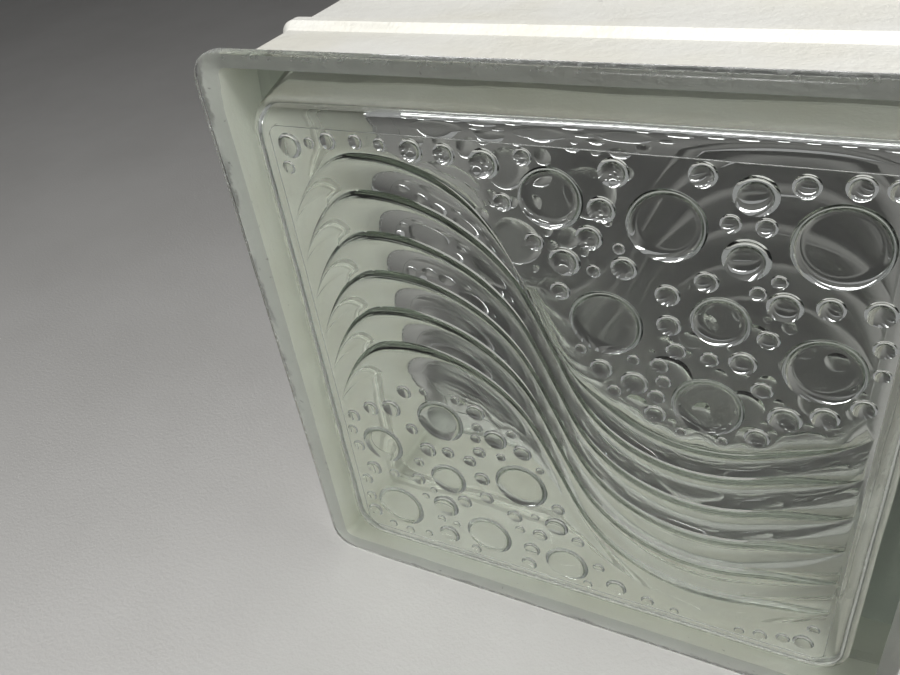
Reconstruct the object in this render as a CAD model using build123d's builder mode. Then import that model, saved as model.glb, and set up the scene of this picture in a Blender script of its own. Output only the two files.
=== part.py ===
from build123d import *
import math
import os

# Pressed glass block: two half shells fused at a mid seam, moulded relief on the inner faces and
# a white coat in the mortar channel. X is the width, the front looks along -Y, Z is up.

# Overall size
block_width = 190.0
block_height = 190.0
block_depth = 80.0

# Face rim, and the lip that stands out round it
rim_width = 10.5
rim_depth = 2.5
lip_thickness = 7.0
lip_corner_radius = 8.0
lip_back_slope = 3.0

# Mortar channel, seam bead and coat
channel_depth = 6.0
channel_corner_radius = 2.0
bead_height = 2.0
bead_top_width = 3.0
bead_foot_width = 8.0
coat_thickness = 0.8
coat_lip_gap = 0.8

# Cavity and the recessed panel that holds the relief
plate_thickness = 9.0
wall_thickness = 6.5
cavity_corner_radius = 9.5
floor_fillet_radius = 4.5
panel_margin = 1.8
panel_recess = 0.4

# Size of the panel that the relief below is laid out on; the relief stretches with the panel
layout_width = 152.4
layout_height = 152.4

# Wave band: its lowest line is an arch on the left and a trough on the right, joined by a straight
# neck. An inset runs from the end of the band to the top of the arch or the bottom of the trough.
wave_end_gap = 1.2
arch_top = 0.8
arch_inset = 32.5
arch_end_slope = 1.575
neck_slope = 2.327
trough_inset = 33.4
trough_end_slope = 1.295
arc_steps = 11

# Ribs of the band, one above the other; the top one is pinched at the neck of the wave
rib_count = 6
rib_rise = 2.0
rib_step = 0.25
rib_root = 1.0
rib_chords = 5
crease_width = 0.4
neck_pitch = 11.35
end_pitch = 13.1
tip_length = 23.0
tip_run_out = 0.6
top_rib_left = 10.7
top_rib_right = 8.0
top_rib_pinch = 8.3
pinch_x = -4.0
pinch_spread = 11.0

# Round bosses with a flat top: X and Z from the centre of the face, then the foot's radius
boss_rise = 1.3
boss_flank = 1.1
boss_places = [
    (-0.1, 63.7, 8.0), (26.5, 60.0, 9.0), (61.8, 59.6, 10.0), (12.7, 31.2, 9.3), (39.6, 36.9, 6.9),
    (62.7, 27.9, 9.0), (38.3, 10.8, 8.9), (-39.5, -16.2, 7.8), (-62.9, -33.0, 7.4), (-40.0, -41.6, 6.3),
    (-14.5, -36.0, 8.5), (-61.1, -62.0, 8.8), (-27.9, -64.0, 8.0), (-1.0, -67.0, 7.2),
]

# Sizes that follow from those above
half_depth = block_depth / 2
half_height = block_height / 2
body_width = block_width - 2 * channel_depth
body_height = block_height - 2 * channel_depth
cavity_width = body_width - 2 * wall_thickness
cavity_height = body_height - 2 * wall_thickness
panel_width = cavity_width - 2 * (floor_fillet_radius + panel_margin)
panel_height = cavity_height - 2 * (floor_fillet_radius + panel_margin)
panel_corner_radius = cavity_corner_radius - floor_fillet_radius - panel_margin
panel_depth = plate_thickness - panel_recess
stretch_x = panel_width / layout_width
stretch_z = panel_height / layout_height
lip_foot = lip_thickness + lip_back_slope
bead_foot = half_depth - bead_foot_width / 2
bead_crown = half_depth - bead_top_width / 2

# The face plane looks out of the block, so a place inside the glass has a negative offset
face = Plane((0, -half_depth, half_height), x_dir=(1, 0, 0), z_dir=(0, -1, 0))


def outline(depth, width, height, radius):
    """Rounded rectangle across the block, at a depth behind the front face."""
    with BuildSketch(face.offset(-depth)) as section:
        RectangleRounded(width, height, radius)
    return section.sketch


def grown(depth, growth):
    """Outline of the body, grown by the same amount on all four sides."""
    radius = channel_corner_radius + growth
    return outline(depth, body_width + 2 * growth, body_height + 2 * growth, radius)


def belt(growth, start, mode):
    """Body from a depth behind the face to the seam, with its half of the bead, grown by one amount."""
    extrude(grown(start, growth), amount=-(half_depth - start), mode=mode)
    loft([grown(bead_foot, growth), grown(bead_crown, bead_height + growth)], ruled=True, mode=mode)
    extrude(grown(bead_crown, bead_height + growth), amount=-bead_top_width / 2, mode=mode)


# The arch and the trough are arcs that meet the neck and the ends of the band at the given slopes
band_end = layout_width / 2 - wave_end_gap
arch_x = arch_inset - band_end
trough_x = band_end - trough_inset
arch_radius = arch_inset * math.hypot(1, 1 / arch_end_slope)
trough_radius = trough_inset * math.hypot(1, 1 / trough_end_slope)
arch_end = math.atan(arch_end_slope)
trough_end = math.atan(trough_end_slope)
neck_angle = math.atan(neck_slope)
arc_share = 1 / math.cos(neck_angle) - 1
trough_bottom = arch_top - neck_slope * (trough_x - arch_x) + arc_share * (arch_radius + trough_radius)


def wave_stations():
    """Places along the wave's lowest line: X, Z and the share of the line that runs level there."""
    places = []
    for step in range(arc_steps + 1):
        turn = -arch_end + (neck_angle + arch_end) * step / arc_steps
        x = arch_x + arch_radius * math.sin(turn)
        places.append((x, arch_top - arch_radius * (1 - math.cos(turn)), math.cos(turn)))
    for step in range(arc_steps + 1):
        turn = -neck_angle + (trough_end + neck_angle) * step / arc_steps
        x = trough_x + trough_radius * math.sin(turn)
        places.append((x, trough_bottom + trough_radius * (1 - math.cos(turn)), math.cos(turn)))
    arch_foot = places[arc_steps]
    trough_head = places[arc_steps + 1]
    middle = tuple((a + b) / 2 for a, b in zip(arch_foot, trough_head))
    places.insert(arc_steps + 1, middle)
    return places


def band_section(x, low_line, level):
    """Scalloped section of the wave band, square to X."""
    floor = -half_depth + panel_depth
    along = 2 * x / layout_width
    pitch = neck_pitch + (end_pitch - neck_pitch) * along**2
    dip = top_rib_pinch * math.exp(-(((x - pinch_x) / pinch_spread) ** 2))
    top_width = (top_rib_left + top_rib_right) / 2 + (top_rib_right - top_rib_left) * along / 2 - dip
    run_out = min(1, (layout_width / 2 - abs(x) + tip_run_out) / tip_length)
    taper = math.sin(math.pi / 2 * run_out)
    points = []
    for rib in range(rib_count):
        full_width = top_width if rib == rib_count - 1 else pitch
        width = full_width * taper - crease_width
        crest = rib_rise * level * taper * min(1, full_width / neck_pitch)
        for chord in range(rib_chords + 1):
            share = chord / rib_chords
            out = floor + rib_step + crest * 4 * share * (1 - share)
            points.append((out, half_height + stretch_z * (low_line + rib * pitch + width * share)))
    top = points[-1][1]
    bottom = points[0][1]
    with BuildSketch(Plane.YZ.offset(stretch_x * x)) as section:
        with BuildLine():
            Polyline(*points, (floor - rib_root, top), (floor - rib_root, bottom), close=True)
        make_face()
    return section.sketch


# Plate behind the face, with the lip that stands out round it
with BuildPart() as face_plate:
    with BuildSketch(face):
        Rectangle(block_width, block_height)
    extrude(amount=-lip_foot)
    # Rim: a long slope from the flat of the face to the lip
    flat_face = face_plate.faces().sort_by(Axis.Y)[0]
    chamfer(flat_face.edges(), length=rim_width, length2=rim_depth, reference=flat_face)
    # Round corners, and the slope behind the lip
    lip_outline = outline(0, block_width, block_height, lip_corner_radius)
    extrude(lip_outline, amount=-lip_foot, mode=Mode.INTERSECT)
    back_face = face_plate.faces().sort_by(Axis.Y)[-1]
    chamfer(back_face.edges(), length=channel_depth, length2=lip_back_slope, reference=back_face)

# Front half shell
with BuildPart() as front_half:
    add(face_plate.part)
    # Body down to the seam, with half of the seam bead round it
    belt(0, lip_foot, Mode.ADD)
    # Cavity
    cavity_floor = outline(plate_thickness, cavity_width, cavity_height, cavity_corner_radius)
    extrude(cavity_floor, amount=-(half_depth - plate_thickness), mode=Mode.SUBTRACT)
    floor_edges = front_half.edges().filter_by_position(
        Axis.Y, -half_depth + plate_thickness, -half_depth + plate_thickness, inclusive=(True, True)
    )
    fillet(floor_edges, floor_fillet_radius)
    # Panel, sunk into the cavity floor
    panel = outline(panel_depth, panel_width, panel_height, panel_corner_radius)
    extrude(panel, amount=-panel_recess, mode=Mode.SUBTRACT)
    # Bosses
    boss_floor = face.offset(-panel_depth)
    for x, z, radius in boss_places:
        with BuildSketch(boss_floor) as foot:
            with Locations((stretch_x * x, stretch_z * z)):
                Circle(radius)
        with BuildSketch(boss_floor.offset(-boss_rise)) as top:
            with Locations((stretch_x * x, stretch_z * z)):
                Circle(radius - boss_flank)
        loft([foot.sketch, top.sketch], ruled=True)
    # Wave band
    loft([band_section(*place) for place in wave_stations()], ruled=True)
front_half.part.label = "front_half"

# Back half shell: the same pressing, turned half a turn about the upright axis
with BuildPart() as back_half:
    add(front_half.part.rotate(Axis.Z, 180))
back_half.part.label = "back_half"

# White coat over the back slopes of the lips, the channel floor and the seam bead, all round
with BuildPart() as edge_coating:
    # Layer on the slope, from just behind the lip's edge
    slope_cover = coat_thickness * math.hypot(channel_depth, lip_back_slope) / channel_depth
    edge_depth = lip_thickness + lip_back_slope * coat_lip_gap / channel_depth
    edge_outline = grown(edge_depth, channel_depth - coat_lip_gap)
    extrude(edge_outline, amount=-(lip_foot + slope_cover - edge_depth))
    add(face_plate.part.moved(Location((0, slope_cover, 0))), mode=Mode.INTERSECT)
    # Layer along the channel to the seam, then room for the glass under both
    belt(coat_thickness, lip_foot, Mode.ADD)
    add(face_plate.part, mode=Mode.SUBTRACT)
    belt(0, lip_foot, Mode.SUBTRACT)
    # The same layer on the back half
    mirror(about=Plane.XZ)
edge_coating.part.label = "edge_coating"

os.makedirs("parts", exist_ok=True)
export_step(front_half.part, "parts/front_half.step")
export_step(back_half.part, "parts/back_half.step")
export_step(edge_coating.part, "parts/edge_coating.step")
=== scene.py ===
import math

import bmesh
import bpy
import numpy as np
from mathutils import Matrix, Quaternion, Vector
from mathutils.geometry import delaunay_2d_cdt


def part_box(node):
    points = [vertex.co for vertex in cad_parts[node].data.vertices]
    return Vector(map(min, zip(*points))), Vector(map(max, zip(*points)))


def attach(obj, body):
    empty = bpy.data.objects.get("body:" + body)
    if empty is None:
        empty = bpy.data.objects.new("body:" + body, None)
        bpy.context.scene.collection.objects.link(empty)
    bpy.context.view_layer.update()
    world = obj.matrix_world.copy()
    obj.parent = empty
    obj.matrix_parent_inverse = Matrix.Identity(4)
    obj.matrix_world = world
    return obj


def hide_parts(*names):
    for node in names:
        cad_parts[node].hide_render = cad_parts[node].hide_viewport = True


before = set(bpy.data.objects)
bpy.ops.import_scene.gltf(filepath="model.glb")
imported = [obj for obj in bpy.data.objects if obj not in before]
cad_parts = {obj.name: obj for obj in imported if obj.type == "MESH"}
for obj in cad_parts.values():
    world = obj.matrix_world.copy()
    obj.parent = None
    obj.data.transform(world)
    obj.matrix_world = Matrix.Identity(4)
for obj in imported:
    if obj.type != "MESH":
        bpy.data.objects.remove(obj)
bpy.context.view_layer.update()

# The glass halves are drawn in millimetres from the centre of the front face: x to the right, z up
# and y as the depth behind the face. They are scaled to metres once, when they are placed.
MM = 0.001

# Section of a half, from the frame and the pressing
front_low, front_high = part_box("front_half")
half_size = front_high.x / MM
half_depth = -front_low.y / MM
centre_height = front_high.z / MM / 2
rim_width = 10.5
rim_depth = 2.5
lip_thickness = 7.0
lip_slope = 3.0
channel_depth = 6.0
bead_height = 2.0
bead_top_width = 3.0
bead_foot_width = 8.0
wall_thickness = 6.5
plate_thickness = 9.0
floor_fillet = 4.5
panel_margin = 1.8
panel_recess = 0.4
seam_gap = 0.01
coat_thickness = 0.8
coat_edge_gap = 0.8
coat_slope_cover = 0.4
coat_bedding = 0.06

# Roundings of the section, from the face round to the panel
face_strip = 6.0
rim_roll = 26.0
lip_rounding = 1.8
lip_back_rounding = 1.0
channel_rounding = 1.5
bead_foot_rounding = 1.0
bead_rounding = 0.6
panel_rounding = 0.25

# Corner radii of the outlines, seen from the front
face_corner = 3.0
lip_corner = 8.0
channel_corner = 2.0
cavity_corner = 9.5
panel_corner = 3.2

# Wave band: its lowest line is an arch on the left and a trough on the right, joined by a straight
# neck. Its ribs end in tips where x is the reach.
arch_x = -42.5
arch_top = 0.8
arch_radius = 38.5
trough_x = 41.6
trough_bottom = -71.2
trough_radius = 42.2
rib_count = 6
rib_rise = 2.0
neck_pitch = 11.35
end_pitch = 13.1
band_reach = 75.6
tip_length = 23.0
top_rib_left = 10.7
top_rib_right = 8.0
top_rib_pinch = 8.3
pinch_x = -4.0
pinch_spread = 11.0

# Flat-topped bosses: x and z from the centre of the face, then the radius of the foot
boss_rise = 2.0
boss_flank = 3.1
bosses = [
    (-0.1, 63.7, 8.0), (26.5, 60.0, 9.0), (61.8, 59.6, 10.0), (12.7, 31.2, 9.3), (39.6, 36.9, 6.9),
    (62.7, 27.9, 9.0), (38.3, 10.8, 8.9), (-39.5, -16.2, 7.8), (-62.9, -33.0, 7.4), (-40.0, -41.6, 6.3),
    (-14.5, -36.0, 8.5), (-61.1, -62.0, 8.8), (-27.9, -64.0, 8.0), (-1.0, -67.0, 7.2),
]

# Small domes, in the same order of values. They rise by a share of their radius. The foot slope is the
# angle in degrees at which their flanks, and those of the bosses, leave the panel.
dome_rise_share = 0.55
foot_slope = 58.0
domes_upper = [
    (43.8, 54.1, 5.2), (44.4, 69.3, 4.7), (33.6, 72.9, 3.1), (14.8, 71.6, 3.6), (-15.9, 70.9, 3.9),
    (-26.0, 72.4, 2.9), (-34.8, 72.6, 3.2), (-6.2, 73.4, 2.3), (2.8, 47.4, 4.0), (9.0, 54.7, 3.3),
    (12.0, 62.3, 3.4), (-4.6, 51.8, 2.5), (-12.0, 61.5, 2.5), (17.2, 47.7, 3.2), (9.9, 45.8, 1.8),
    (27.4, 42.1, 3.0), (28.0, 33.7, 3.0), (16.0, 52.8, 1.5), (1.3, 38.7, 2.6), (30.0, 26.5, 2.5),
    (37.9, 25.7, 2.2), (45.4, 26.4, 3.3), (26.2, 21.1, 2.3), (27.3, 16.2, 2.0), (20.1, 14.1, 3.6),
    (11.5, 16.8, 3.0), (25.7, 10.9, 2.3), (14.9, 10.2, 1.9), (19.7, 21.4, 1.6), (6.1, 21.9, 1.5),
    (25.5, 5.1, 2.9), (32.3, 0.9, 1.4), (42.6, 0.7, 1.4), (50.6, 4.2, 3.1), (56.2, 11.9, 4.0),
    (50.3, 19.3, 2.6), (64.6, 14.7, 3.3), (72.0, 19.6, 2.8), (50.3, 34.2, 2.6), (52.7, 43.5, 3.9),
    (46.9, 46.0, 1.9), (35.9, 47.2, 2.8), (39.9, 62.4, 2.3), (47.1, 62.4, 2.3), (51.0, 49.6, 1.8),
    (61.8, 44.7, 3.0), (71.2, 45.3, 3.3), (53.6, 72.4, 2.8), (63.2, 73.1, 2.9), (69.9, 73.3, 2.4),
    (74.0, 29.6, 1.9), (73.3, 36.6, 2.4),
]
domes_lower = [
    (-21.4, -18.4, 3.8), (-26.9, -9.2, 3.0), (-13.0, -21.3, 2.9), (-56.5, -15.7, 3.3), (-45.8, -30.1, 2.9),
    (-38.6, -29.2, 2.2), (-31.2, -30.6, 2.2), (-27.5, -25.6, 2.2), (-28.1, -20.0, 1.8), (-27.1, -15.2, 1.8),
    (-16.1, -14.7, 1.6), (-20.3, -25.4, 1.6), (-7.8, -27.0, 1.4), (-27.7, -37.2, 2.7), (-27.0, -45.6, 2.5),
    (-35.3, -50.4, 2.6), (-42.8, -55.3, 4.6), (-43.3, -69.5, 3.8), (-51.6, -45.4, 2.5), (-60.7, -45.7, 1.9),
    (-68.8, -45.8, 2.9), (-72.8, -36.6, 2.2), (-73.7, -29.5, 1.9), (-71.9, -23.0, 2.4), (-64.4, -17.8, 2.8),
    (-72.8, -52.5, 2.2), (-72.9, -61.0, 2.0), (-72.7, -68.3, 2.8), (-50.6, -7.3, 2.5), (-43.7, -5.6, 1.4),
    (-33.3, -6.0, 1.5), (-50.4, -22.6, 2.2), (-50.2, -37.1, 1.9), (-17.7, -50.7, 2.6), (-3.7, -50.1, 3.8),
    (-2.9, -42.0, 2.2), (3.1, -54.7, 2.1), (-9.5, -56.5, 2.5), (-16.3, -56.4, 1.7), (-12.8, -64.7, 2.9),
    (-14.3, -72.4, 2.7), (-33.6, -73.2, 1.9), (-10.6, -48.3, 1.4), (-45.4, -62.5, 1.6), (-39.8, -63.2, 1.4),
    (-50.0, -53.0, 1.4), (-66.2, -73.0, 1.6), (-59.4, -73.7, 1.7), (-51.7, -72.5, 1.5), (-46.5, -49.0, 1.3),
]
domes_bottom = [
    (9.6, -64.3, 1.9), (15.2, -71.3, 3.3), (5.9, -73.8, 1.6), (25.2, -73.3, 2.1), (33.6, -74.2, 1.4),
    (64.9, -71.2, 2.0), (70.3, -70.2, 2.9), (72.2, -63.3, 1.8), (58.7, -72.9, 2.1), (52.8, -73.9, 1.5),
]
domes_top_left = [
    (-70.6, 71.0, 3.5), (-72.5, 64.8, 1.9), (-64.3, 72.2, 1.6), (-58.4, 73.2, 2.4), (-50.3, 73.6, 2.0),
    (-43.4, 73.4, 1.8),
]

# Fineness of the meshes, and how near two points are when they become one
band_stations = 190
steps_per_rib = 14
dome_segments = 28
boss_segments = 56
bubble_rings = 7
corner_steps = 10
rounding_steps = 4
band_weld = 0.004
mesh_weld = 0.003
outline_weld = 0.00001
smooth_angle = 38.0

# Share of a lamp's light that a face of the glass lets straight through, and how far the scuffs of the
# lips reach in from their edge
lamp_share = 0.98
scuff_width = 1.2

# Floor of the studio, in metres
floor_radius = 1.5
floor_sides = 96

# Camera, as the photograph was taken: places in millimetres, roll in degrees
photo_lens = 33.27
sensor_width = 36.0
near_clip = 0.01
camera_eye = (64.1, -193.6, 249.2)
camera_target = (-29.0, -40.0, 116.2)
camera_roll = -8.81


def new_object(name, mesh):
    """An object in the scene, at the origin."""
    piece = bpy.data.objects.new(name, mesh)
    bpy.context.scene.collection.objects.link(piece)
    return piece


class Wire:
    """A value on its way through a node tree. Arithmetic on it adds the Math nodes."""

    def __init__(self, tree, socket):
        self.tree = tree
        self.socket = socket

    def math(self, operation, *others):
        node = self.tree.nodes.new("ShaderNodeMath")
        node.operation = operation
        for slot, value in zip(node.inputs, (self,) + others):
            if isinstance(value, Wire):
                self.tree.links.new(value.socket, slot)
            else:
                slot.default_value = value
        return Wire(self.tree, node.outputs[0])

    def __add__(self, other):
        return self.math("ADD", other)

    def __sub__(self, other):
        return self.math("SUBTRACT", other)

    def __mul__(self, other):
        return self.math("MULTIPLY", other)

    def __truediv__(self, other):
        return self.math("DIVIDE", other)

    def at_least(self, low):
        return self.math("MAXIMUM", low)

    def at_most(self, high):
        return self.math("MINIMUM", high)

    def root(self):
        return self.at_least(0.0).math("SQRT")

    def where_over(self, limit, yes, no):
        """yes where this value is over the limit, otherwise no."""
        over = self.math("GREATER_THAN", limit)
        return no + (yes - no) * over


class Tree:
    """A Geometry Nodes tree with named inputs and one mesh out."""

    def __init__(self, name):
        self.tree = bpy.data.node_groups.new(name, "GeometryNodeTree")
        self.tree.interface.new_socket("Geometry", in_out="INPUT", socket_type="NodeSocketGeometry")
        self.tree.interface.new_socket("Geometry", in_out="OUTPUT", socket_type="NodeSocketGeometry")
        self.into = self.tree.nodes.new("NodeGroupInput")
        self.out = self.tree.nodes.new("NodeGroupOutput")
        self.settings = {}

    def size(self, name, value, kind="NodeSocketFloat"):
        """A named input with its value for this object."""
        socket = self.tree.interface.new_socket(name, in_out="INPUT", socket_type=kind)
        self.settings[socket.identifier] = value
        return Wire(self.tree, self.into.outputs[name])

    def node(self, kind, **inputs):
        """A node whose inputs are set or linked by name."""
        made = self.tree.nodes.new(kind)
        for name, value in inputs.items():
            slot = made.inputs[name.replace("_", " ")]
            if isinstance(value, Wire):
                self.tree.links.new(value.socket, slot)
            elif isinstance(value, bpy.types.NodeSocket):
                self.tree.links.new(value, slot)
            else:
                slot.default_value = value
        return made

    def number(self, name):
        """A stored number of each point."""
        made = self.node("GeometryNodeInputNamedAttribute", Name=name)
        return Wire(self.tree, made.outputs["Attribute"])

    def place(self, geometry, x, y, z):
        """The geometry with its points set to x, y and z."""
        spot = self.node("ShaderNodeCombineXYZ", X=x, Y=y, Z=z)
        return self.node("GeometryNodeSetPosition", Geometry=geometry, Position=spot.outputs[0]).outputs[0]

    def finish(self, geometry, material):
        """Realizes what is instanced, sets the material and ends the tree."""
        real = self.node("GeometryNodeRealizeInstances", Geometry=geometry)
        dressed = self.node("GeometryNodeSetMaterial", Geometry=real.outputs[0])
        dressed.inputs["Material"].default_value = material
        self.tree.links.new(dressed.outputs[0], self.out.inputs[0])

    def grow(self, name, mesh):
        """The tree's result on a mesh, as a plain mesh."""
        seed = new_object(name, mesh)
        modifier = seed.modifiers.new(name, "NODES")
        modifier.node_group = self.tree
        for identifier, value in self.settings.items():
            modifier[identifier] = value
        graph = bpy.context.evaluated_depsgraph_get()
        grown = bpy.data.meshes.new_from_object(seed.evaluated_get(graph))
        bpy.data.objects.remove(seed)
        return grown


def straight_of_wave():
    """Ends of the straight that touches both the arch and the trough, as x and z."""
    arch = Vector((arch_x, arch_top - arch_radius))
    trough = Vector((trough_x, trough_bottom + trough_radius))
    between = trough - arch
    turn = math.atan2(between.y, between.x) - math.asin((arch_radius + trough_radius) / between.length)
    outward = Vector((-math.sin(turn), math.cos(turn)))
    return arch + outward * arch_radius, trough - outward * trough_radius


def wave_band(glass):
    """The ribs of the wave, side by side, as one sheet whose edge lies on the panel."""
    tree = Tree("wave_band")
    lines = tree.size("Stations", band_stations, "NodeSocketInt")
    steps = tree.size("Steps per rib", steps_per_rib, "NodeSocketInt")
    count = tree.size("Ribs", rib_count, "NodeSocketInt")
    reach = tree.size("Reach", band_reach)
    tip = tree.size("Tip length", tip_length)
    rise = tree.size("Rib rise", rib_rise)
    narrow = tree.size("Pitch at the neck", neck_pitch)
    wide = tree.size("Pitch at the ends", end_pitch)
    left_width = tree.size("Top rib width left", top_rib_left)
    right_width = tree.size("Top rib width right", top_rib_right)
    pinch = tree.size("Top rib pinch", top_rib_pinch)
    pinch_place = tree.size("Pinch place", pinch_x)
    spread = tree.size("Pinch spread", pinch_spread)
    arch_place = tree.size("Arch place", arch_x)
    arch_size = tree.size("Arch radius", arch_radius)
    arch_height = tree.size("Arch top", arch_top)
    trough_place = tree.size("Trough place", trough_x)
    trough_size = tree.size("Trough radius", trough_radius)
    trough_height = tree.size("Trough bottom", trough_bottom)
    start, end = straight_of_wave()
    neck_start = tree.size("Neck start", start.x)
    neck_top = tree.size("Neck top", start.y)
    neck_end = tree.size("Neck end", end.x)
    neck_foot = tree.size("Neck foot", end.y)

    rungs = count * (steps + 1.0)
    grid = tree.node("GeometryNodeMeshGrid", Size_X=2.0, Size_Y=1.0, Vertices_X=lines, Vertices_Y=rungs)
    position = tree.node("GeometryNodeInputPosition")
    split = tree.node("ShaderNodeSeparateXYZ", Vector=position.outputs[0])
    along = Wire(tree.tree, split.outputs[0])
    across = Wire(tree.tree, split.outputs[1])
    x = along * reach

    # Which rib a point is on, and how far it is across that rib
    rung = ((across + 0.5) * (rungs - 1.0)).math("ROUND")
    rib = (rung / (steps + 1.0) + 0.001).math("FLOOR")
    share = (rung - rib * (steps + 1.0)) / steps

    # Lowest line of the band, and how level it runs
    arch_lean = (x - arch_place) / arch_size
    arch_level = (arch_lean * arch_lean * -1.0 + 1.0).root()
    arch_line = arch_height - arch_size + arch_size * arch_level
    trough_lean = (x - trough_place) / trough_size
    trough_level = (trough_lean * trough_lean * -1.0 + 1.0).root()
    trough_line = trough_height + trough_size - trough_size * trough_level
    fall = (neck_top - neck_foot) / (neck_end - neck_start)
    neck_line = neck_top - (x - neck_start) * fall
    neck_level = (fall * fall + 1.0).math("POWER", -0.5)
    line = x.where_over(neck_start, x.where_over(neck_end, trough_line, neck_line), arch_line)
    level = x.where_over(neck_start, x.where_over(neck_end, trough_level, neck_level), arch_level)

    # Width of a rib, measured upright; the top rib is pinched at the neck
    pitch = narrow + (wide - narrow) * along * along
    off_pinch = (x - pinch_place) / spread
    dip = pinch * (off_pinch * off_pinch * -1.0).math("EXPONENT")
    top_width = (left_width + right_width) * 0.5 + (right_width - left_width) * along * 0.5 - dip
    taper = ((reach - x.math("ABSOLUTE")) / tip).at_least(0.0).at_most(1.0)
    on_top = rib.math("COMPARE", count - 1.0, 0.1)
    width = (pitch + (top_width - pitch) * on_top) * (taper * (math.pi / 2)).math("SINE")

    z = line + pitch * rib + width * share
    crown = share * (share * -1.0 + 1.0) * 4.0
    height = rise * crown * level * width / narrow
    placed = tree.place(grid.outputs["Mesh"], x, height, z)
    joined = tree.node("GeometryNodeMergeByDistance", Geometry=placed, Distance=band_weld)
    tree.finish(joined.outputs[0], glass)
    return tree.grow("wave_band", bpy.data.meshes.new("wave_band"))


def bubble_cap(segments, rings):
    """Cap of one bubble: the way out from its axis, and the share of its flank that is climbed."""
    mesh = bmesh.new()
    loops = []
    for ring in range(rings + 1):
        angles = [2 * math.pi * segment / segments for segment in range(segments)]
        loops.append([mesh.verts.new((math.cos(a), ring / rings, math.sin(a))) for a in angles])
    middle = mesh.verts.new((0, 1, 0))
    for low, high in zip(loops, loops[1:]):
        for i in range(segments):
            j = (i + 1) % segments
            mesh.faces.new((low[i], high[i], high[j], low[j]))
    for i in range(segments):
        mesh.faces.new((loops[-1][i], middle, loops[-1][(i + 1) % segments]))
    data = bpy.data.meshes.new("bubble_cap")
    mesh.to_mesh(data)
    mesh.free()
    pattern = data.attributes.new("cap", "FLOAT_VECTOR", "POINT")
    for vertex, value in zip(data.vertices, pattern.data):
        value.vector = vertex.co
    return data


def bubble_field(name, places, glass, segments, rings):
    """Bubbles at places, each (x, z, foot radius, flank width, rise), with their feet on the panel."""
    points = bpy.data.meshes.new(name)
    points.from_pydata([(x, 0, z) for x, z, *_ in places], [], [])
    for column, label in enumerate(("foot_radius", "flank", "rise"), start=2):
        stored = points.attributes.new(label, "FLOAT", "POINT")
        stored.data.foreach_set("value", [place[column] for place in places])
    cap = new_object(name + "_cap", bubble_cap(segments, rings))

    tree = Tree(name)
    pattern = tree.size("Cap", cap, "NodeSocketObject")
    shape = tree.node("GeometryNodeObjectInfo", Object=pattern)
    spread = tree.node("GeometryNodeInstanceOnPoints", Points=tree.into.outputs["Geometry"])
    tree.tree.links.new(shape.outputs["Geometry"], spread.inputs["Instance"])
    real = tree.node("GeometryNodeRealizeInstances", Geometry=spread.outputs[0])
    stored = tree.node("GeometryNodeInputNamedAttribute", Name="cap")
    stored.data_type = "FLOAT_VECTOR"
    way = tree.node("ShaderNodeSeparateXYZ", Vector=stored.outputs["Attribute"])
    position = tree.node("GeometryNodeInputPosition")
    spot = tree.node("ShaderNodeSeparateXYZ", Vector=position.outputs[0])
    out_x, climbed, out_z = (Wire(tree.tree, way.outputs[i]) for i in range(3))
    centre_x = Wire(tree.tree, spot.outputs[0]) - out_x
    centre_z = Wire(tree.tree, spot.outputs[2]) - out_z
    # The flank is a part of a ball: it leaves the panel at the foot slope and ends level
    slope = tree.size("Foot slope", math.radians(foot_slope))
    radius = tree.number("foot_radius") - tree.number("flank") * climbed
    off_axis = (climbed * -1.0 + 1.0) * slope.math("SINE")
    low = slope.math("COSINE")
    height = tree.number("rise") * ((off_axis * off_axis * -1.0 + 1.0).root() - low) / (low * -1.0 + 1.0)
    placed = tree.place(real.outputs[0], centre_x + out_x * radius, height, centre_z + out_z * radius)
    tree.finish(placed, glass)
    grown = tree.grow(name, points)
    bpy.data.objects.remove(cap)
    return grown


def mesh_arrays(mesh):
    """Points of a mesh as an array, and its faces as tuples of point numbers."""
    points = np.zeros(len(mesh.vertices) * 3)
    mesh.vertices.foreach_get("co", points)
    return points.reshape(-1, 3), [tuple(face.vertices) for face in mesh.polygons]


def border(faces):
    """Point numbers along the open edge of a sheet, in order."""
    edges = dict.fromkeys(edge for face in faces for edge in zip(face, face[1:] + face[:1]))
    following = {a: b for a, b in edges if (b, a) not in edges}
    start = next(iter(following))
    loop = [start]
    while following[loop[-1]] != start:
        loop.append(following[loop[-1]])
    return loop


def square_loop(half, corner, depth):
    """Points of a rounded square round the centre of the face, at one depth."""
    points = []
    for quarter in range(4):
        diagonal = math.pi / 2 * quarter + math.pi / 4
        side_x = math.copysign(half - corner, math.cos(diagonal))
        side_z = math.copysign(half - corner, math.sin(diagonal))
        for step in range(corner_steps + 1):
            angle = math.pi / 2 * (quarter + step / corner_steps)
            points.append((side_x + corner * math.cos(angle), depth, side_z + corner * math.sin(angle)))
    return points


def inside(loop, x, z):
    """True for a point inside a closed outline."""
    hit = False
    for (ax, az), (bx, bz) in zip(loop, loop[1:] + loop[:1]):
        if (az > z) != (bz > z) and x < (bx - ax) * (z - az) / (bz - az) + ax:
            hit = not hit
    return hit


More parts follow.
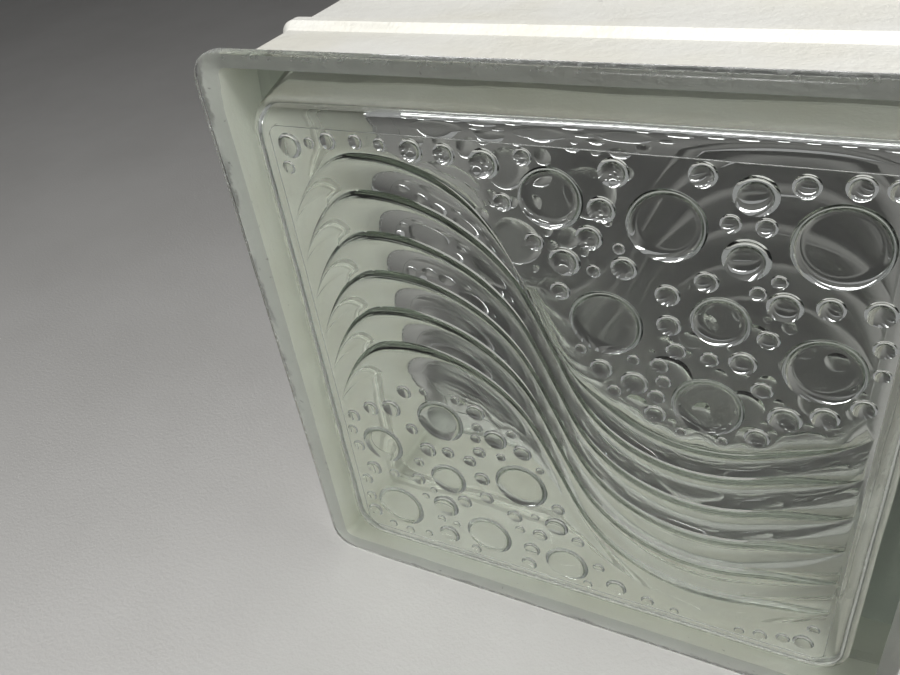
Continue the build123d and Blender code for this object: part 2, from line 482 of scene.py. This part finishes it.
def panel_sheet(edge, band, bubble_loops):
    """Flat triangles of the panel between its edge, the band and the bubbles' feet."""
    spots = []
    lines = []
    for loop in [edge, band] + bubble_loops:
        first = len(spots)
        spots += [Vector(point) for point in loop]
        lines += [(first + i, first + (i + 1) % len(loop)) for i in range(len(loop))]
    outer = list(range(len(edge)))
    inside_only = 1
    spots, _, faces, _, _, _ = delaunay_2d_cdt(spots, lines, [outer], inside_only, outline_weld, False)
    kept = []
    circles = [(np.mean(loop, axis=0), loop) for loop in bubble_loops]
    reach = [max(math.dist(centre, point) for point in loop) for centre, loop in circles]
    for face in faces:
        x = sum(spots[i].x for i in face) / len(face)
        z = sum(spots[i].y for i in face) / len(face)
        near = [loop for (centre, loop), far in zip(circles, reach) if math.dist(centre, (x, z)) < far]
        if inside(band, x, z) or any(inside(loop, x, z) for loop in near):
            continue
        kept.append(tuple(face))
    return [(spot.x, 0.0, spot.y) for spot in spots], kept


def rounded_profile(stops):
    """Section line with its corners rounded. A stop is (half size, depth, corner radius, rounding)."""
    line = []
    for i, (half, depth, corner, rounding) in enumerate(stops):
        if rounding == 0 or i in (0, len(stops) - 1):
            line.append((half, depth, corner))
            continue
        here = Vector((half, depth))
        before = Vector(stops[i - 1][:2]) - here
        after = Vector(stops[i + 1][:2]) - here
        opening = before.angle(after)
        run = rounding / math.tan(opening / 2)
        halfway = (before.normalized() + after.normalized()).normalized()
        centre = here + halfway * rounding / math.sin(opening / 2)
        first = here + before.normalized() * run - centre
        last = here + after.normalized() * run - centre
        turn = first.angle(last)
        for step in range(rounding_steps + 1):
            share = step / rounding_steps
            a = math.sin(turn * (1 - share)) / math.sin(turn)
            b = math.sin(turn * share) / math.sin(turn)
            point = centre + first * a + last * b
            line.append((point.x, point.y, corner))
    return line


def half_section():
    """Section of a half, from the flat of its face round to the edge of the panel."""
    body = half_size - channel_depth
    cavity = body - wall_thickness
    panel = cavity - floor_fillet - panel_margin
    seam = half_depth - seam_gap
    return [
        (half_size - rim_width - face_strip, 0.0, face_corner, 0.0),
        (half_size - rim_width, 0.0, face_corner, rim_roll),
        (half_size, rim_depth, lip_corner, lip_rounding),
        (half_size, lip_thickness, lip_corner, lip_back_rounding),
        (body, lip_thickness + lip_slope, channel_corner, channel_rounding),
        (body, half_depth - bead_foot_width / 2, channel_corner, bead_foot_rounding),
        (body + bead_height, half_depth - bead_top_width / 2, channel_corner + bead_height, bead_rounding),
        (body + bead_height, seam, channel_corner + bead_height, 0.0),
        (cavity, seam, cavity_corner, 0.0),
        (cavity, plate_thickness, cavity_corner, floor_fillet),
        (panel, plate_thickness, panel_corner, panel_rounding),
        (panel, plate_thickness - panel_recess, panel_corner, 0.0),
    ]


def stitch(mesh, low, high):
    """Faces between two rings that have the same number of points."""
    faces = []
    for i in range(len(low)):
        j = (i + 1) % len(low)
        faces.append(mesh.faces.new((low[i], low[j], high[j], high[i])))
    return faces


def finished_mesh(name, mesh, *materials):
    """A drawn piece as a plain mesh in metres, standing on the floor, smooth between its edges."""
    bmesh.ops.recalc_face_normals(mesh, faces=mesh.faces)
    data = bpy.data.meshes.new(name)
    mesh.to_mesh(data)
    mesh.free()
    data.transform(Matrix.Translation((0, -half_depth * MM, centre_height * MM)) @ Matrix.Scale(MM, 4))
    data.polygons.foreach_set("use_smooth", [True] * len(data.polygons))
    data.set_sharp_from_angle(angle=math.radians(smooth_angle))
    for material in materials:
        data.materials.append(material)
    return data


def glass_half(name, glass):
    """One pressed half, closed, with its relief on the inner face."""
    floor_depth = plate_thickness - panel_recess
    domes = domes_upper + domes_lower + domes_bottom + domes_top_left
    small = [(x, z, r, r, r * dome_rise_share) for x, z, r in domes]
    large = [(x, z, r, boss_flank, boss_rise) for x, z, r in bosses]
    band_points, band_faces = mesh_arrays(wave_band(glass))
    parts = [(band_points, band_faces)]
    bubble_loops = []
    for field, places, segments in (("domes", small, dome_segments), ("bosses", large, boss_segments)):
        points, faces = mesh_arrays(bubble_field(field, places, glass, segments, bubble_rings))
        parts.append((points, faces))
        per_cap = segments * (bubble_rings + 1) + 1
        for first in range(0, len(points), per_cap):
            bubble_loops.append([(p[0], p[2]) for p in points[first:first + segments]])
    section = rounded_profile(half_section())
    half, depth, corner = section[-1]
    edge = [(x, z) for x, _, z in square_loop(half, corner, depth)]
    band = [(band_points[i][0], band_points[i][2]) for i in border(band_faces)]
    parts.append(panel_sheet(edge, band, bubble_loops))

    mesh = bmesh.new()
    for points, faces in parts:
        made = [mesh.verts.new((x, floor_depth + y, z)) for x, y, z in points]
        for face in faces:
            mesh.faces.new([made[i] for i in face])
    loops = [[mesh.verts.new(p) for p in square_loop(h, c, d)] for h, d, c in section]
    for low, high in zip(loops, loops[1:]):
        stitch(mesh, low, high)
    mesh.faces.new(loops[0])
    bmesh.ops.remove_doubles(mesh, verts=mesh.verts, dist=mesh_weld)
    data = finished_mesh(name, mesh, glass)
    shares = data.attributes.new("lamp_share", "FLOAT", "FACE")
    shares.data.foreach_set("value", [lamp_share] * len(data.polygons))
    return data


class Shade(Tree):
    """A material's node tree, whose coordinates are those of the object."""

    def __init__(self, name):
        self.material = bpy.data.materials.new(name)
        self.material.use_nodes = True
        self.tree = self.material.node_tree
        self.body = self.tree.nodes["Principled BSDF"]
        self.output = self.tree.nodes["Material Output"]
        self.coordinates = self.node("ShaderNodeTexCoord").outputs["Object"]

    def axes(self):
        """Object coordinates in millimetres, one value for each axis."""
        split = self.node("ShaderNodeSeparateXYZ", Vector=self.coordinates)
        return [Wire(self.tree, split.outputs[i]) * (1 / MM) for i in range(3)]

    def noise(self, scale, detail=3.0, roughness=0.5, stretch=None):
        """Noise from 0 to 1 in object coordinates, its scale in cells a metre."""
        where = self.coordinates
        if stretch:
            where = self.node("ShaderNodeMapping", Vector=where, Scale=stretch).outputs[0]
        made = self.node("ShaderNodeTexNoise", Vector=where, Scale=scale, Detail=detail, Roughness=roughness)
        return Wire(self.tree, made.outputs[0])

    def ramp(self, value, low, high):
        """0 below low, 1 above high and smooth between."""
        made = self.node("ShaderNodeMapRange", Value=value)
        made.interpolation_type = "SMOOTHSTEP"
        made.inputs["From Min"].default_value = low
        made.inputs["From Max"].default_value = high
        return Wire(self.tree, made.outputs[0])

    def blend(self, share, low, high):
        """Colour that goes from low to high."""
        made = self.tree.nodes.new("ShaderNodeMix")
        made.data_type = "RGBA"
        self.tree.links.new(share.socket, made.inputs["Factor"])
        for slot, value in ((made.inputs[6], low), (made.inputs[7], high)):
            if isinstance(value, bpy.types.NodeSocket):
                self.tree.links.new(value, slot)
            else:
                slot.default_value = (*value, 1)
        return made.outputs[2]

    def bump(self, height, distance):
        """Normal of a surface that rises by the height times the distance in metres."""
        return self.node("ShaderNodeBump", Height=height, Distance=distance).outputs[0]

    def feed(self, name, value):
        """Links a value to a named input of the body."""
        self.tree.links.new(value.socket if isinstance(value, Wire) else value, self.body.inputs[name])

    def shadow_ray(self):
        """1 for a ray that looks for a lamp, otherwise 0."""
        return self.node("ShaderNodeLightPath").outputs["Is Shadow Ray"]

    def mix_in(self, share, other):
        """Makes the surface from the body and a share of another shader."""
        mix = self.node("ShaderNodeMixShader", Fac=share)
        self.tree.links.new(self.body.outputs[0], mix.inputs[1])
        self.tree.links.new(other.outputs[0], mix.inputs[2])
        self.tree.links.new(mix.outputs[0], self.output.inputs["Surface"])


def clear_glass(name):
    """Pressed glass. Each face lets its own share of a lamp's light go straight through."""
    shade = Shade(name)
    body = shade.body
    body.inputs["Base Color"].default_value = (1, 1, 1, 1)
    body.inputs["IOR"].default_value = 1.52
    body.inputs["Transmission Weight"].default_value = 1.0
    body.inputs["Specular Tint"].default_value = (0.38, 0.38, 0.38, 1)
    # A matt, scuffed skin that only the lips have, and slow waves of the pressing
    x, _, z = shade.axes()
    upright = (z - centre_height).math("ABSOLUTE")
    from_middle = x.math("ABSOLUTE").math("MAXIMUM", upright) + shade.noise(160.0, 1.0) * scuff_width
    on_lip = shade.ramp(from_middle, half_size - scuff_width, half_size)
    scuff = shade.ramp(shade.noise(420.0, 2.5, 0.65), 0.45, 0.7)
    shade.feed("Roughness", on_lip * (scuff * 0.3 + 0.12) + 0.004)
    waves = shade.noise(34.0, 1.0, 0.4) + shade.noise(110.0, 0.0) * 0.12
    shade.feed("Normal", shade.bump(waves, 0.00045))
    share = shade.node("ShaderNodeAttribute")
    share.attribute_name = "lamp_share"
    let_through = shade.node("ShaderNodeBsdfTransparent", Color=share.outputs["Fac"])
    shade.mix_in(shade.shadow_ray(), let_through)
    tint = shade.node("ShaderNodeVolumeAbsorption", Color=(0.50, 0.56, 0.49, 1), Density=24.0)
    shade.tree.links.new(tint.outputs[0], shade.output.inputs["Volume"])
    return shade.material


def channel_coat(name, bedded, pale, dull):
    """Thin white coat, its edge along the lip ragged and grey. Lamp light that falls on its outside
    also shows on the side that is bedded in the glass, which is drawn in darker copies of the white: painted
    shade."""
    shade = Shade(name)
    _, y, _ = shade.axes()
    cloud = shade.ramp(shade.noise(26.0, 2.0, 0.6), 0.35, 0.7)
    fine = shade.noise(900.0, 1.5, 0.7)
    colour = shade.blend(cloud, pale, dull)
    # Grey dirt and chips close to the edge of the coat, fewer further in
    from_lip = (y.math("ABSOLUTE") * -1.0 + (half_depth - lip_thickness)).at_least(0.0)
    ragged = from_lip - shade.noise(140.0, 4.0, 0.7) * 3.4
    edge_dirt = shade.ramp(ragged * -1.0, 0.55, 1.05) * shade.ramp(shade.noise(60.0, 2.0), 0.42, 0.6)
    specks = shade.ramp(shade.noise(520.0, 2.0, 0.5), 0.70, 0.76) * shade.ramp(from_lip * -1.0, -16.0, -1.0)
    dirt = (edge_dirt * 0.8 + specks * 0.7).at_most(1.0)
    colour = shade.blend(dirt, colour, (0.16, 0.16, 0.15))
    # Faint scuffs along the channel
    scuffs = shade.ramp(shade.noise(60.0, 3.0, 0.7, (0.25, 3.0, 0.25)), 0.60, 0.72)
    colour = shade.blend(scuffs * 0.22, colour, (0.60, 0.58, 0.52))
    shade.feed("Base Color", colour)
    shade.feed("Roughness", fine * 0.2 + 0.62)
    grain = shade.noise(220.0, 3.0, 0.65) + fine * 0.35
    shade.feed("Normal", shade.bump(grain, 0.00035))
    if bedded:
        shade.mix_in(0.45, shade.node("ShaderNodeBsdfTranslucent", Color=colour))
    else:
        shade.mix_in(shade.shadow_ray(), shade.node("ShaderNodeBsdfTransparent", Color=(0.6, 0.6, 0.6, 1)))
    return shade.material


def coat_piece(outside, bedded, on_lip):
    """The coat round the four sides: it beds a little into the glass, so no air is left under it."""
    body = half_size - channel_depth
    start = lip_thickness + lip_slope
    foot = half_depth - bead_foot_width / 2
    crown = half_depth - bead_top_width / 2
    top = body + coat_thickness
    inner = body - coat_bedding
    edge = half_size - coat_edge_gap
    edge_depth = lip_thickness + lip_slope * coat_edge_gap / channel_depth
    shown = [
        (inner, start, channel_corner),
        (edge, edge_depth - coat_bedding, lip_corner),
        (edge, edge_depth + coat_thickness / 2, lip_corner),
        (top, start + coat_slope_cover, channel_corner + coat_thickness),
        (top, foot, channel_corner + coat_thickness),
        (top + bead_height, crown, channel_corner + coat_thickness + bead_height),
    ]
    hidden = [
        (inner, foot, channel_corner),
        (inner + bead_height, crown, channel_corner + bead_height),
    ]

    def mirrored(stops):
        return [(half, 2 * half_depth - depth, corner) for half, depth, corner in stops]

    section = shown + mirrored(shown[::-1]) + mirrored(hidden) + hidden[::-1]
    # The first ring of faces and the last of the shown ones lie on the backs of the lips. The bedded rings
    # and the lip rings take the darker copies of the coat, painted shade, the lip ones darkest.
    coats = [outside, bedded, on_lip]
    last_on_lip = 2 * len(shown) - 2
    mesh = bmesh.new()
    loops = [[mesh.verts.new(p) for p in square_loop(h, c, d)] for h, d, c in section]
    for ring, (low, high) in enumerate(zip(loops, loops[1:] + loops[:1])):
        if ring in (0, last_on_lip):
            coat = on_lip
        else:
            coat = outside if ring < last_on_lip else bedded
        for face in stitch(mesh, low, high):
            face.material_index = coats.index(coat)
    return finished_mesh("edge_coat", mesh, *coats)


def place_piece(piece, node):
    """Ties a finished piece to the body, and hides the CAD node that it stands for."""
    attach(piece, "root")
    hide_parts(node)


def glass_block():
    """The three pieces, each at the origin."""
    front_mesh = glass_half("front_glass", clear_glass("clear_pressed_glass"))
    coat_mesh = coat_piece(
        channel_coat("channel_coat", False, (0.90, 0.89, 0.83), (0.86, 0.84, 0.75)),
        # The bedded sides are the same white coat in darker copies: painted shade for the coat seen through
        # the glass, darkest on the backs of the lips
        channel_coat("channel_coat_bedded_painted_shade", True, (0.66, 0.655, 0.61), (0.62, 0.61, 0.55)),
        channel_coat("lip_coat_bedded_painted_shade", True, (0.40, 0.405, 0.38), (0.375, 0.375, 0.35)),
    )
    # The back half is the same pressing, turned round; its pane lets no lamp light straight through
    back_mesh = front_mesh.copy()
    back_mesh.transform(Matrix.Rotation(math.pi, 4, "Z"))
    pane = max(back_mesh.polygons, key=lambda face: face.area)
    back_mesh.attributes["lamp_share"].data[pane.index].value = 0.0
    front = new_object("front_glass", front_mesh)
    back = new_object("back_glass", back_mesh)
    coat = new_object("edge_coat", coat_mesh)
    place_piece(front, "front_half")
    place_piece(back, "back_half")
    place_piece(coat, "edge_coating")
    return [front, back, coat]


def floor_piece():
    """Plain pale floor, a disc round the block."""
    mesh = bmesh.new()
    bmesh.ops.create_circle(mesh, cap_ends=True, segments=floor_sides, radius=floor_radius)
    data = bpy.data.meshes.new("studio_floor")
    mesh.to_mesh(data)
    mesh.free()
    shade = Shade("pale_floor")
    mottle = shade.ramp(shade.noise(9.0, 5.0, 0.6), 0.3, 0.7)
    colour = shade.blend(mottle, (0.57, 0.56, 0.54), (0.53, 0.52, 0.50))
    shade.feed("Base Color", colour)
    shade.feed("Roughness", shade.noise(60.0) * 0.15 + 0.8)
    shade.feed("Normal", shade.bump(shade.noise(700.0, 4.0, 0.6), 0.0002))
    data.materials.append(shade.material)
    floor = new_object("studio_floor", data)
    return floor


def lit_group(name, pieces):
    """Objects that a lamp can be linked to."""
    group = bpy.data.collections.new(name)
    for piece in pieces:
        group.objects.link(piece)
    return group


def lamp(name, place, aim, size, power, lit, shape="DISK"):
    """Area lamp, aimed at a point, that lights one group of objects."""
    light = bpy.data.lights.new(name, "AREA")
    light.shape = shape
    light.size, light.size_y = size
    light.energy = power
    holder = bpy.data.objects.new(name, light)
    holder.location = place
    holder.rotation_euler = (Vector(aim) - Vector(place)).to_track_quat("-Z", "Y").to_euler()
    bpy.context.scene.collection.objects.link(holder)
    holder.light_linking.receiver_collection = lit
    return holder


def backdrop():
    """Plain grey where it is seen, and a faint fill for light that has met a matt surface."""
    world = bpy.data.worlds.new("studio")
    world.use_nodes = True
    nodes = world.node_tree.nodes
    links = world.node_tree.links
    seen = nodes["Background"]
    seen.inputs["Color"].default_value = (0.34, 0.34, 0.345, 1)
    fill = nodes.new("ShaderNodeBackground")
    fill.inputs["Color"].default_value = (0.90, 0.92, 0.95, 1)
    fill.inputs["Strength"].default_value = 0.03
    path = nodes.new("ShaderNodeLightPath")
    bounced = Wire(world.node_tree, path.outputs["Diffuse Depth"]).at_most(1.0)
    mix = nodes.new("ShaderNodeMixShader")
    links.new(bounced.socket, mix.inputs[0])
    links.new(seen.outputs[0], mix.inputs[1])
    links.new(fill.outputs[0], mix.inputs[2])
    links.new(mix.outputs[0], nodes["World Output"].inputs["Surface"])
    bpy.context.scene.world = world


def studio(block):
    """Floor, backdrop and lamps. The floor has a lamp of its own near the camera, so that the block's
    shadow falls on what is seen of the floor through the glass."""
    on_floor = lit_group("lit_floor", [floor_piece()])
    on_block = lit_group("lit_block", block)
    backdrop()
    # None of these four is seen through the glass; the strip behind the block is, as sparkles
    aim = (-0.02, -0.12, 0.05)
    for name, place, size, power, lit in (
        ("key_lamp", (0.80, -0.92, 1.18), 0.5, 17.5, on_block),
        ("front_lamp", (-0.20, -0.92, 1.45), 0.5, 10, on_block),
        ("side_lamp", (2.0, -0.8, 0.40), 0.5, 23, on_block),
        ("floor_lamp", (0.10, -0.80, 0.64), 0.2, 11.4, on_floor),
    ):
        lamp(name, place, aim, (size, size), power, lit).visible_transmission = False
    lamp("back_strip", (-0.3, 2.4, 0.55), (0, 0, 0.1), (2.4, 0.3), 12, on_block, "RECTANGLE")
    bpy.context.scene.view_settings.view_transform = "Standard"


def photo_camera():
    """Camera at the photograph's viewing angle."""
    eye = Vector(camera_eye) * MM
    target = Vector(camera_target) * MM
    data = bpy.data.cameras.new("photo_camera")
    data.lens = photo_lens
    data.sensor_width = sensor_width
    data.clip_start = near_clip
    camera = bpy.data.objects.new("photo_camera", data)
    camera.location = eye
    level = (target - eye).to_track_quat("-Z", "Y")
    roll = Quaternion((0, 0, 1), math.radians(camera_roll))
    camera.rotation_mode = "QUATERNION"
    camera.rotation_quaternion = level @ roll
    bpy.context.scene.collection.objects.link(camera)
    bpy.context.scene.camera = camera


studio(glass_block())
photo_camera()
